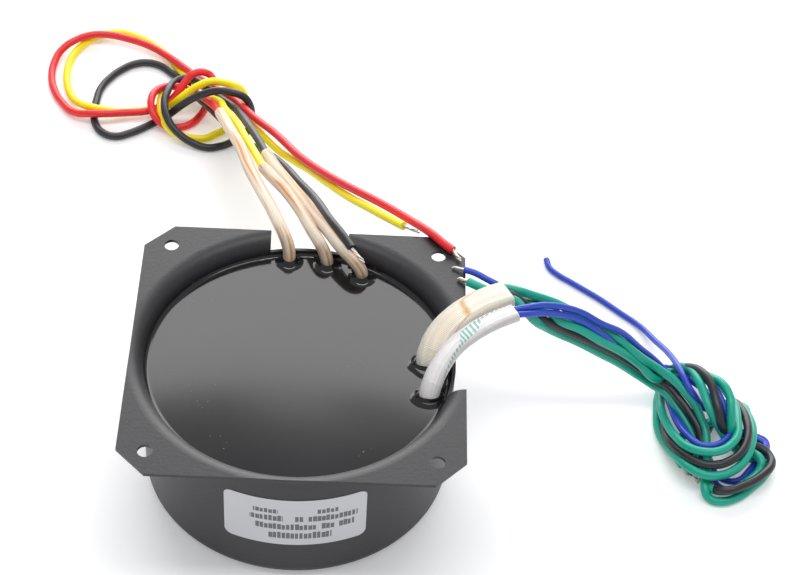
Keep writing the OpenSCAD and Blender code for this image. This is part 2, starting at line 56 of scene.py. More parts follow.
class LeadColour(Enum):
    """The colours of the leads' insulation."""

    RED = (0.8, 0.02, 0.028)
    YELLOW = (1.0, 0.84, 0.0)
    BLACK = (0.02, 0.021, 0.026)
    GREEN = (0.0, 0.36, 0.25)
    BLUE = (0.02, 0.06, 0.48)


# ---- Shader graphs ----


@dataclass(frozen=True)
class Value:
    """A number or colour that a shader works out. It takes part in sums as a float does."""

    graph: "Graph"
    socket: Any

    def __add__(self, other: Number) -> "Value":
        """The sum with other."""
        return self.graph.maths("ADD", self, other)

    def __radd__(self, other: Number) -> "Value":
        """The sum with other."""
        return self.graph.maths("ADD", other, self)

    def __sub__(self, other: Number) -> "Value":
        """The difference from other."""
        return self.graph.maths("SUBTRACT", self, other)

    def __rsub__(self, other: Number) -> "Value":
        """Other less this."""
        return self.graph.maths("SUBTRACT", other, self)

    def __mul__(self, other: Number) -> "Value":
        """The product with other."""
        return self.graph.maths("MULTIPLY", self, other)

    def __rmul__(self, other: Number) -> "Value":
        """The product with other."""
        return self.graph.maths("MULTIPLY", other, self)

    def __truediv__(self, other: Number) -> "Value":
        """This over other."""
        return self.graph.maths("DIVIDE", self, other)

    def __lt__(self, other: Number) -> "Value":
        """1 where this is less than other, and 0 elsewhere."""
        return self.graph.maths("LESS_THAN", self, other)

    def __gt__(self, other: Number) -> "Value":
        """1 where this is more than other, and 0 elsewhere."""
        return self.graph.maths("GREATER_THAN", self, other)

    def sine(self) -> "Value":
        """The sine of this, in radians."""
        return self.graph.maths("SINE", self)

    def cosine(self) -> "Value":
        """The cosine of this, in radians."""
        return self.graph.maths("COSINE", self)

    def whole(self) -> "Value":
        """This rounded down."""
        return self.graph.maths("FLOOR", self)

    def fraction(self) -> "Value":
        """What is left of this over its whole part."""
        return self.graph.maths("FRACT", self)

    def size(self) -> "Value":
        """This without its sign."""
        return self.graph.maths("ABSOLUTE", self)

    def ramp(self, low: float, high: float) -> "Value":
        """A smooth step.

        Args:
            low: Where it is 0.
            high: Where it is 1.

        Returns:
            A value from 0 to 1.
        """
        node = self.graph.node(
            "ShaderNodeMapRange",
            {"interpolation_type": "SMOOTHSTEP"},
            {"Value": self, "From Min": low, "From Max": high},
        )
        return Value(self.graph, node.outputs["Result"])


class Graph:
    """The shader nodes of one material or world."""

    def __init__(self, owner: Any) -> None:
        """Empties the node tree of owner, which is a material or a world."""
        self.owner = owner
        owner.use_nodes = True
        self.tree = owner.node_tree
        self.tree.nodes.clear()

    @classmethod
    def named(cls, name: str) -> "Graph":
        """The graph of a new material called name."""
        return cls(bpy.data.materials.new(name))

    def node(self, kind: str, settings: dict[str, Any], inputs: dict[Any, Any]) -> Any:
        """Adds a node.

        Args:
            kind: The node's type.
            settings: The node's own settings, which are made first.
            inputs: A number, colour or Value for each named or numbered socket.

        Returns:
            The node.
        """
        made = self.tree.nodes.new(kind)
        for key, value in settings.items():
            setattr(made, key, value)
        for key, value in inputs.items():
            if isinstance(value, Value):
                self.tree.links.new(value.socket, made.inputs[key])
            else:
                made.inputs[key].default_value = value
        return made

    def maths(self, operation: str, *terms: Number) -> Value:
        """The result of one sum on the terms."""
        made = self.node("ShaderNodeMath", {"operation": operation}, dict(enumerate(terms)))
        return Value(self, made.outputs[0])

    def here(self, kind: str) -> Value:
        """This point in one kind of texture coordinates, such as Object or UV."""
        source = self.node("ShaderNodeTexCoord", {}, {})
        return Value(self, source.outputs[kind])

    def parts(self, place: Value) -> tuple[Value, Value, Value]:
        """The x, y and z of a place."""
        split = self.node("ShaderNodeSeparateXYZ", {}, {0: place})
        x, y, z = (Value(self, split.outputs[number]) for number in range(3))
        return x, y, z

    def joined(self, x: Number, y: Number, z: Number = 0.0) -> Value:
        """The place at x, y and z."""
        made = self.node("ShaderNodeCombineXYZ", {}, {0: x, 1: y, 2: z})
        return Value(self, made.outputs[0])

    def noise(self, scale: float, detail: float = 2.0, place: Optional[Value] = None) -> Value:
        """Soft noise from 0 to 1.

        Args:
            scale: How many cells there are to each metre, or to each unit of place.
            detail: How many finer layers it has.
            place: Where it is read. It is the object's own place unless one is given.

        Returns:
            The noise.
        """
        at = self.here("Object") if place is None else place
        made = self.node("ShaderNodeTexNoise", {}, {"Vector": at, "Scale": scale, "Detail": detail})
        return Value(self, made.outputs["Fac"])

    def random(self, x: Number, y: Number) -> Value:
        """A number from 0 to 1 that differs for each x and y."""
        made = self.node(
            "ShaderNodeTexWhiteNoise", {"noise_dimensions": "2D"}, {"Vector": self.joined(x, y)}
        )
        return Value(self, made.outputs["Value"])

    def mix(self, share: Number, first: Any, second: Any) -> Value:
        """Lays one colour over another.

        Args:
            share: How much of the second colour shows.
            first: The colour underneath.
            second: The colour on top.

        Returns:
            The mixed colour.
        """
        made = self.node(
            "ShaderNodeMix",
            {"data_type": "RGBA"},
            {
                "Factor": share,
                6: first if isinstance(first, Value) else (*first, 1.0),
                7: second if isinstance(second, Value) else (*second, 1.0),
            },
        )
        return Value(self, made.outputs[2])

    def bump(self, height: Value, distance: float) -> Value:
        """The normal of a surface that stands out by distance where height is 1."""
        made = self.node(
            "ShaderNodeBump", {}, {"Height": height, "Distance": distance, "Strength": 1.0}
        )
        return Value(self, made.outputs[0])

    def shader(self, kind: str, **inputs: Any) -> Value:
        """Adds a shader.

        Args:
            kind: The shader node's type.
            inputs: What goes into its sockets, each named with _ for a space.

        Returns:
            The shader.
        """
        named = {
            key.replace("_", " "): (*value, 1.0) if isinstance(value, tuple) else value
            for key, value in inputs.items()
        }
        return Value(self, self.node(kind, {}, named).outputs[0])

    def surface(self, **inputs: Any) -> bpy.types.Material:
        """Ends a material with a Principled BSDF.

        Args:
            inputs: What goes into its sockets, each named with _ for a space.

        Returns:
            The material.
        """
        return self.finish(self.shader("ShaderNodeBsdfPrincipled", **inputs))

    def finish(self, shader: Value, output: str = "ShaderNodeOutputMaterial") -> Any:
        """Ends the graph.

        Args:
            shader: What the surface shows.
            output: The output node's type.

        Returns:
            The material or the world.
        """
        self.node(output, {}, {"Surface": shader})
        return self.owner


# ---- Finishes ----


@dataclass(frozen=True)
class Paint:
    """Satin black paint on pressed steel, with a fine grain and a little dust."""

    colour: Colour = (0.017, 0.0162, 0.0185)
    dust: Colour = (0.4, 0.4, 0.42)
    dust_share: float = 0.096
    roughness: float = 0.38
    shine: float = 0.56
    grain_depth: float = 0.05 * MM

    def material(self) -> bpy.types.Material:
        """Makes the paint's material.

        Returns:
            The material.
        """
        g = Graph.named("can_paint")
        grain = g.noise(900.0, 3.0)
        cloud = g.noise(24.0, 3.0)
        dust = g.noise(2600.0, 1.0) > 0.76
        return g.surface(
            Base_Color=g.mix(dust * self.dust_share, self.colour, self.dust),
            Roughness=self.roughness + 0.07 * cloud + 0.05 * grain,
            Normal=g.bump(grain, self.grain_depth),
            Specular_IOR_Level=self.shine,
        )


@dataclass(frozen=True)
class Resin:
    """Glossy black potting resin, with a few specks of dust."""

    colour: Colour = (0.012, 0.0105, 0.0115)
    dust: Colour = (0.3, 0.29, 0.28)
    roughness: float = 0.085
    wave_depth: float = 0.4 * MM
    ior: float = 1.49

    def material(self) -> bpy.types.Material:
        """Makes the resin's material.

        Returns:
            The material.
        """
        g = Graph.named("resin")
        wave = g.noise(18.0, 1.0)
        dust = (g.noise(1300.0, 0.0) > 0.82) * (g.noise(60.0, 1.0) > 0.62)
        return g.surface(
            Base_Color=g.mix(dust * 0.3, self.colour, self.dust),
            Roughness=self.roughness + 0.03 * wave + 0.25 * dust,
            Normal=g.bump(wave, self.wave_depth),
            IOR=self.ior,
        )


@dataclass(frozen=True)
class Pvc:
    """Smooth PVC insulation of one colour, a little worn and dusty."""

    colour: LeadColour
    dust: Colour = (0.8, 0.8, 0.8)
    worn: float = 0.7
    roughness: float = 0.3
    dent_depth: float = 0.04 * MM

    def material(self) -> bpy.types.Material:
        """Makes the insulation's material.

        Returns:
            The material.
        """
        g = Graph.named("pvc_" + self.colour.name.lower())
        wear = g.noise(260.0, 3.0)
        dust = g.noise(1800.0, 1.0) > 0.74
        darker = tuple(self.worn * part for part in self.colour.value)
        colour = g.mix(wear * 0.1, self.colour.value, darker)
        return g.surface(
            Base_Color=g.mix(dust * 0.06, colour, self.dust),
            Roughness=self.roughness + 0.12 * wear,
            Normal=g.bump(g.noise(420.0, 2.0), self.dent_depth),
        )


@dataclass(frozen=True)
class Braid:
    """Braided glass sleeving, with varnish soaked into it in streaks, and painted shade in its folds and
    between its threads.
    """

    name: str
    colour: Colour = (0.95, 0.84, 0.68)
    stain: Colour = (0.8, 0.3, 0.045)
    amount: float = 0.9
    length: float = 90 * MM
    girth: float = 12.5 * MM
    # How strongly the painted fold shade darkens the braid where its folds would lie in shade.
    painted_fold_shading: float = 0.25
    turns: float = 16.0
    slash: float = 0.0
    streaks: float = 0.9
    tracer: Optional[Colour] = None
    streak_length: float = 30 * MM
    dash_length: float = 1.3 * MM
    thread_depth: float = 0.12 * MM
    # Colours of the painted shade: one for the folds, one for the gaps between the threads.
    fold_shade: Colour = (0.32, 0.3, 0.28)
    gap_shade: Colour = (0.42, 0.3, 0.19)

    def weave(self, along: Value, around: Value) -> Value:
        """How far the crossed threads stand out, from -1 to 1."""
        rise = along * (self.length / self.girth * self.turns)
        left = ((rise + around * self.turns) * TURN).sine()
        right = ((rise - around * self.turns) * TURN).sine()
        return left * right

    def varnish(self, g: Graph, along: Value, round_x: Value, round_y: Value) -> Value:
        """Where varnish has soaked in.

        Args:
            g: The material's graph.
            along: How far along the sleeve this point is, from 0 to 1.
            round_x: The cosine of its turn round the sleeve.
            round_y: The sine of that turn.

        Returns:
            How much there is, from 0 to 1.
        """
        down = along * (self.length / self.streak_length)
        broad = g.noise(1.0, 3.0, g.joined(down, round_x * 1.2, round_y * 1.2)).ramp(0.46, 0.6)
        beside = g.joined(down * 1.6, 5.0 + round_x * 3.5, round_y * 3.5)
        fine = g.noise(1.0, 4.0, beside).ramp(0.52, 0.66)
        ragged = 0.05 * g.noise(1.0, 2.0, g.joined(down * 4.0, round_x, round_y))
        slant = (along - 0.66 - 0.24 * round_x + ragged).size()
        line = (1.0 - slant.ramp(0.0, 0.045)) * self.slash
        foot = 1.0 - along.ramp(0.0, 0.16)
        soaked = (broad * 0.6 + fine * self.streaks + foot * 0.75) * self.amount + line * 0.7
        return g.maths("MINIMUM", soaked * (0.6 + 0.8 * g.noise(1400.0, 2.0)), 1.0)

    def dashes(self, along: Value, around: Value) -> Value:
        """1 on the dashes of the two tracer threads, which wind slowly round the sleeve."""
        across = (around * 2.0 + along * 1.1 + 0.1).fraction()
        dash = (along * (self.length / self.dash_length) + across * 2.0).fraction()
        return (across > 0.3) * (across < 0.46) * (dash < 0.5)

    def material(self) -> bpy.types.Material:
        """Makes the sleeving's material.

        Returns:
            The material.
        """
        g = Graph.named(self.name)
        along, around, _ = g.parts(g.here("UV"))
        turn = around * TURN
        round_x, round_y = turn.cosine(), turn.sine()
        weave = self.weave(along, around)
        soaked = self.varnish(g, along, round_x, round_y)
        colour = g.mix(soaked, self.colour, self.stain)
        if self.tracer is not None:
            colour = g.mix(self.dashes(along, around) * 0.75, colour, self.tracer)
        # Painted shade: noise patches along the sleeve darken it towards fold_shade, as if its folds lay
        # in shade.
        down = along * (self.length / self.streak_length)
        painted_fold_shading = g.noise(1.0, 1.0, g.joined(down, round_x * 1.6, round_y * 1.6)).ramp(0.42, 0.7)
        colour = g.mix(painted_fold_shading * self.painted_fold_shading, colour, self.fold_shade)
        # Painted shade: where the weave is low, between the threads, the colour is darkened towards
        # gap_shade.
        return g.surface(
            Base_Color=g.mix((0.5 - 0.5 * weave) * 0.22, colour, self.gap_shade),
            Roughness=0.62 - 0.22 * soaked,
            Normal=g.bump(weave, self.thread_depth),
        )


@dataclass(frozen=True)
class PrintRow:
    """One run of bars on the label. Its lengths are in millimetres from the label's middle."""

    low: float
    height: float
    start: float
    end: float


@dataclass(frozen=True)
class LabelFilm:
    """Silver label film with rows of small grey-black bars where its words would be."""

    radius: float = 47.25 * MM
    turn: float = math.radians(1.8)
    middle: float = 25.6 * MM
    pitch: float = 1.3
    pale: Colour = (0.6, 0.6, 0.62)
    grey: Colour = (0.5, 0.5, 0.53)
    ink: Colour = (0.05, 0.05, 0.055)
    rows: tuple[PrintRow, ...] = (
        PrintRow(4.0, 2.2, -12.4, -5.0),
        PrintRow(4.0, 2.2, 6.5, 12.6),
        PrintRow(0.6, 2.6, -13.4, -3.6),
        PrintRow(0.6, 2.6, -0.4, 18.6),
        PrintRow(-3.2, 2.7, -12.2, 17.6),
        PrintRow(-7.3, 3.0, -8.0, 10.8),
    )

    def bars(self, g: Graph) -> Value:
        """Finds the bars, which differ a little in width and height, with a few left out.

        Args:
            g: The material's graph.

        Returns:
            1 on each bar, and 0 elsewhere.
        """
        x, y, z = g.parts(g.here("Object"))
        across = (g.maths("ARCTAN2", x, 0.0 - y) - self.turn) * (self.radius / MM)
        up = (z - self.middle) / MM
        cell = (across / self.pitch).whole()
        share = (across / self.pitch).fraction()
        printed: Number = 0.0
        for number, row in enumerate(self.rows):
            high = (up > row.low) * (up < row.low + row.height)
            inside = high * (across > row.start) * (across < row.end)
            wide = share < (0.68 + 0.26 * g.random(cell, float(number)))
            kept = g.random(cell, number + 7.5) > 0.08
            tall = ((up - row.low) / row.height) < (0.75 + 0.25 * g.random(cell, number + 3.5))
            printed = printed + inside * wide * kept * tall
        return printed

    def material(self) -> bpy.types.Material:
        """Makes the label's material.

        Returns:
            The material.
        """
        g = Graph.named("label_film")
        bars = self.bars(g)
        sheen = g.noise(60.0, 2.0)
        film = g.mix(sheen * 0.4, self.pale, self.grey)
        return g.surface(
            Base_Color=g.mix(bars * (0.75 + 0.2 * g.noise(2400.0, 1.0)), film, self.ink),
            Metallic=0.45 - 0.4 * g.maths("MINIMUM", bars, 1.0),
            Roughness=0.34 + 0.1 * sheen,
        )


@dataclass(frozen=True)
class TinnedCopper:
    """Tinned strands of a bared lead, with a little bare copper showing."""

    tin: Colour = (0.78, 0.76, 0.73)
    copper: Colour = (0.6, 0.42, 0.3)

    def material(self) -> bpy.types.Material:
        """Makes the strands' material.

        Returns:
            The material.
        """
        g = Graph.named("tinned_copper")
        return g.surface(
            Base_Color=g.mix(g.noise(1200.0, 2.0) * 0.5, self.tin, self.copper),
            Metallic=1.0,
            Roughness=0.3 + 0.2 * g.noise(2500.0, 2.0),
        )


@dataclass(frozen=True)
class InnerFinish:
    """Metal or film inside the resin, which is never seen."""

    name: str
    colour: Colour
    metallic: float
    grime: Colour = (0.2, 0.2, 0.2)

    def material(self) -> bpy.types.Material:
        """Makes the material.

        Returns:
            The material.
        """
        g = Graph.named(self.name)
        return g.surface(
            Base_Color=g.mix(g.noise(300.0) * 0.2, self.colour, self.grime),
            Metallic=self.metallic,
            Roughness=0.4,
        )


@dataclass(frozen=True)
class WhiteFloor:
    """A white floor that melts into a white background and keeps its shadows."""

    colour: Colour = (0.84, 0.84, 0.845)
    glow: Colour = (1.0, 1.0, 1.0)
    lift: float = 0.22

    def material(self) -> bpy.types.Material:
        """Makes the floor's material.

        Returns:
            The material.
        """
        g = Graph.named("floor_white")
        paper = g.shader(
            "ShaderNodeBsdfPrincipled", Base_Color=self.colour, Roughness=0.8, Specular_IOR_Level=0.1
        )
        glow = g.shader("ShaderNodeEmission", Color=self.glow, Strength=self.lift)
        both = g.node("ShaderNodeAddShader", {}, {0: paper, 1: glow})
        return g.finish(Value(g, both.outputs[0]))


@dataclass(frozen=True)
class Surroundings:
    """A white background, and a plain pale sky that lights the object."""

    seen: Colour = (1.0, 1.0, 1.0)
    sky: Colour = (0.96, 0.97, 1.0)
    sky_strength: float = 0.58

    def world(self) -> bpy.types.World:
        """Makes the world.

        Returns:
            The world.
        """
        g = Graph(bpy.data.worlds.new("surroundings"))
        path = g.node("ShaderNodeLightPath", {}, {})
        seen = g.shader("ShaderNodeBackground", Color=self.seen, Strength=1.0)
        sky = g.shader("ShaderNodeBackground", Color=self.sky, Strength=self.sky_strength)
        ray = Value(g, path.outputs["Is Camera Ray"])
        mix = g.node("ShaderNodeMixShader", {}, {0: ray, 1: sky, 2: seen})
        return g.finish(Value(g, mix.outputs[0]), "ShaderNodeOutputWorld")


# ---- Modelling by hand ----


def deselect() -> None:
    """Leaves nothing selected."""
    bpy.ops.object.select_all(action="DESELECT")


def metres(points: list[Point]) -> list[Vector]:
    """The points, given in millimetres, in metres."""
    return [Vector(p) * MM for p in points]


def draw_tube(name: str, points: list[Point], radius: float, finish: bpy.types.Material) -> Any:
    """Draws a round tube along a line.

    Args:
        name: The piece's name.
        points: The line's points, in millimetres.
        radius: The tube's radius, in metres.
        finish: Its material.

    Returns:
        The curve object.
    """
    deselect()
    bpy.ops.curve.primitive_bezier_curve_add(location=(0, 0, 0))
    tube = bpy.context.object
    tube.name = name
    spline = tube.data.splines[0]
    spline.bezier_points.add(len(points) - 2)
    for knot, place in zip(spline.bezier_points, metres(points)):
        knot.co = place
        knot.handle_left_type = knot.handle_right_type = "AUTO"
    tube.data.dimensions = "3D"
    tube.data.resolution_u = 10
    tube.data.bevel_depth = radius
    tube.data.bevel_resolution = 5
    tube.data.materials.append(finish)
    return tube


def repaint(nodes: dict[str, Any], name: str, finish: bpy.types.Material) -> Any:
    """Gives a CAD node a better material.

    Args:
        nodes: The CAD nodes.
        name: The node's name.
        finish: The material.

    Returns:
        The node's object.
    """
    node = nodes[name]
    for slot in node.material_slots:
        slot.link = "OBJECT"
        slot.material = finish
    return node


# ---- Sub-assemblies ----


@dataclass
class PottedCan:
    """The pressed can, its resin, its label and the wound core in it."""

    nodes: dict[str, Any]
    copper: Colour = (0.7, 0.32, 0.14)
    film: Colour = (0.9, 0.84, 0.55)
    steel: Colour = (0.42, 0.42, 0.44)

    def dress(self, resin: bpy.types.Material) -> None:
        """Gives each CAD node its material.

        Args:
            resin: The resin's material.
        """
        repaint(self.nodes, "can", Paint().material())
        repaint(self.nodes, "potting_resin", resin)
        repaint(self.nodes, "rating_label", LabelFilm().material())
        steel = InnerFinish("core_steel", self.steel, 1.0).material()
        copper = InnerFinish("copper_wire", self.copper, 1.0).material()
        film = InnerFinish("film", self.film, 0.0).material()
        repaint(self.nodes, "core", steel)
        for name in ("primary_winding", "secondary_winding", "auxiliary_winding"):
            repaint(self.nodes, name, copper)
        for name in ("core_wrap", "primary_wrap", "secondary_wrap", "outer_wrap"):
            repaint(self.nodes, name, film)


@dataclass
class Meniscus:
    """The resin that creeps up round the foot of a sleeve, in a smooth hollow curve.

    Each step is how far out from the sleeve and how far up from the resin the curve has come.
    """

    name: str
    foot: Point
    width: float
    height: float
    resin_top: float = 42.5
    facets: int = 48
    steps: tuple[tuple[float, float], ...] = (
        (2.5, 0.02), (1.9, 0.14), (1.4, 0.34), (1.0, 0.6), (0.7, 0.95), (0.42, 1.4), (0.1, 1.9),
    )

    def reach(self, out: float) -> tuple[float, float]:
        """Half the width and half the height of the oval that is out from the sleeve."""
        return self.width / 2 + out, self.height / 2 + out

    def build(self, finish: bpy.types.Material) -> Any:
        """Shapes an oval ring at the resin, and extrudes it in and up to the sleeve.

        Args:
            finish: The resin's material.

        Returns:
            The meniscus's object.
        """
        deselect()
        bpy.ops.mesh.primitive_circle_add(vertices=self.facets, radius=MM, location=(0, 0, 0))
        ring = bpy.context.object
        ring.name = self.name
        bpy.ops.object.mode_set(mode="EDIT")
        bpy.ops.mesh.select_all(action="SELECT")
        middle = Vector((self.foot[0], self.foot[1], 0)) * MM
        out, up = self.steps[0]
        now = self.reach(out)
        bpy.ops.transform.resize(value=(*now, 1.0))
        bpy.ops.transform.translate(value=middle + Vector((0, 0, self.resin_top + up)) * MM)
        for next_out, next_up in self.steps[1:]:
            wanted = self.reach(next_out)
            bpy.ops.mesh.extrude_region_move(
                TRANSFORM_OT_translate={"value": (0.0, 0.0, (next_up - up) * MM)}
            )
            bpy.ops.transform.resize(
                value=(wanted[0] / now[0], wanted[1] / now[1], 1.0), center_override=middle
            )
            now, up = wanted, next_up
        bpy.ops.object.mode_set(mode="OBJECT")
        bpy.ops.object.shade_smooth()
        ring.data.materials.append(finish)
        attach(ring, "root")
        log.info("%s: %d steps", self.name, len(self.steps))
        return ring


@dataclass
class BareEnd:
    """The twisted tinned strands at the end of a lead. They spread a little and end unevenly."""

    name: str
    start: Point
    end: Point
    strand: float
    twist: float
    count: int = 4
    steps: int = 5
    spread: float = 0.25
    unevenness: float = 0.05

    def line(self, number: int) -> list[Point]:
        """Works out the middle line of one strand.

        Args:
            number: Which strand it is, from 0.

        Returns:
            The line's points, in millimetres.
        """
        run = Vector(self.end) - Vector(self.start)
        side = run.cross(Vector((0, 0, 1))).normalized()
        over = side.cross(run).normalized()
        points = []
        for step in range(self.steps + 1):
            share = step / self.steps
            angle = TURN * number / self.count + self.twist * share
            out = self.strand * (1.0 + self.spread * share * (number - 1))
            place = Vector(self.start) + run * (share * (1.0 - self.unevenness * number))
            points.append(tuple(place + (side * math.cos(angle) + over * math.sin(angle)) * out))
        return points

    def build(self, finish: bpy.types.Material) -> Any:
        """Draws the strands as one piece.

        Args:
            finish: The strands' material.

        Returns:
            The strands' object, which stands for the CAD node of its name.
        """
        drawn = []
        for number in range(self.count):
            name = f"{self.name}_strand_{number}"
            drawn.append(draw_tube(name, self.line(number), self.strand * MM, finish))
        deselect()
        for piece in drawn:
            piece.data.use_fill_caps = True
            piece.data.resolution_u = 4
            piece.data.bevel_resolution = 2
            piece.select_set(True)
        bpy.context.view_layer.objects.active = drawn[0]
        bpy.ops.object.join()
        strands = bpy.context.object
        strands.name = self.name + "_strands"
        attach(strands, "root")
        log.info("%s: %d strands", strands.name, self.count)
        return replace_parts(strands, self.name)


@dataclass
class Sleeve:
    """A braided sleeve that comes out of the resin round one or more leads."""

    name: str
    points: list[Point]
    height: float
    width: float
    finish: Braid
    wall: float = 0.42 * MM

    def build(self) -> Any:
        """Draws the sleeve as a flattened tube, hollow and open at its end.

        Returns:
            The sleeve's object, which stands for the CAD node of its name.
        """
        tube = draw_tube(self.name + "_braid", self.points, self.height / 2, self.finish.material())
        tube.data.bevel_resolution = 6
        tube.data.extrude = (self.width - self.height) / 2
        if self.width > self.height:
            tube.data.twist_mode = "Z_UP"
            for knot in tube.data.splines[0].bezier_points:
                knot.tilt = math.pi / 2
        thick = tube.modifiers.new("wall", "SOLIDIFY")
        thick.thickness = self.wall
        thick.offset = -1.0
        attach(tube, "root")
        log.info("%s: %d points", tube.name, len(self.points))
        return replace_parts(tube, self.name)


@dataclass
class Lead:
    """One lead, from its sleeve through its knot to its bared end."""

    name: str
    colour: LeadColour
    diameter: float
    length: float
    points: list[Point]
    nodes: tuple[str, ...]
    pieces: list[Any] = field(default_factory=list)

    def build(self, finishes: dict[LeadColour, bpy.types.Material]) -> Any:
        """Args:
            finishes: The material of each colour of insulation.

        Returns:
            The lead's object.
        """
        tube = draw_tube(self.name, self.points, self.diameter / 2, finishes[self.colour])
        tube.data.use_fill_caps = True
        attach(tube, "root")
        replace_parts(tube, *self.nodes)
        log.info("%s: %d points", self.name, len(self.points))
        return tube


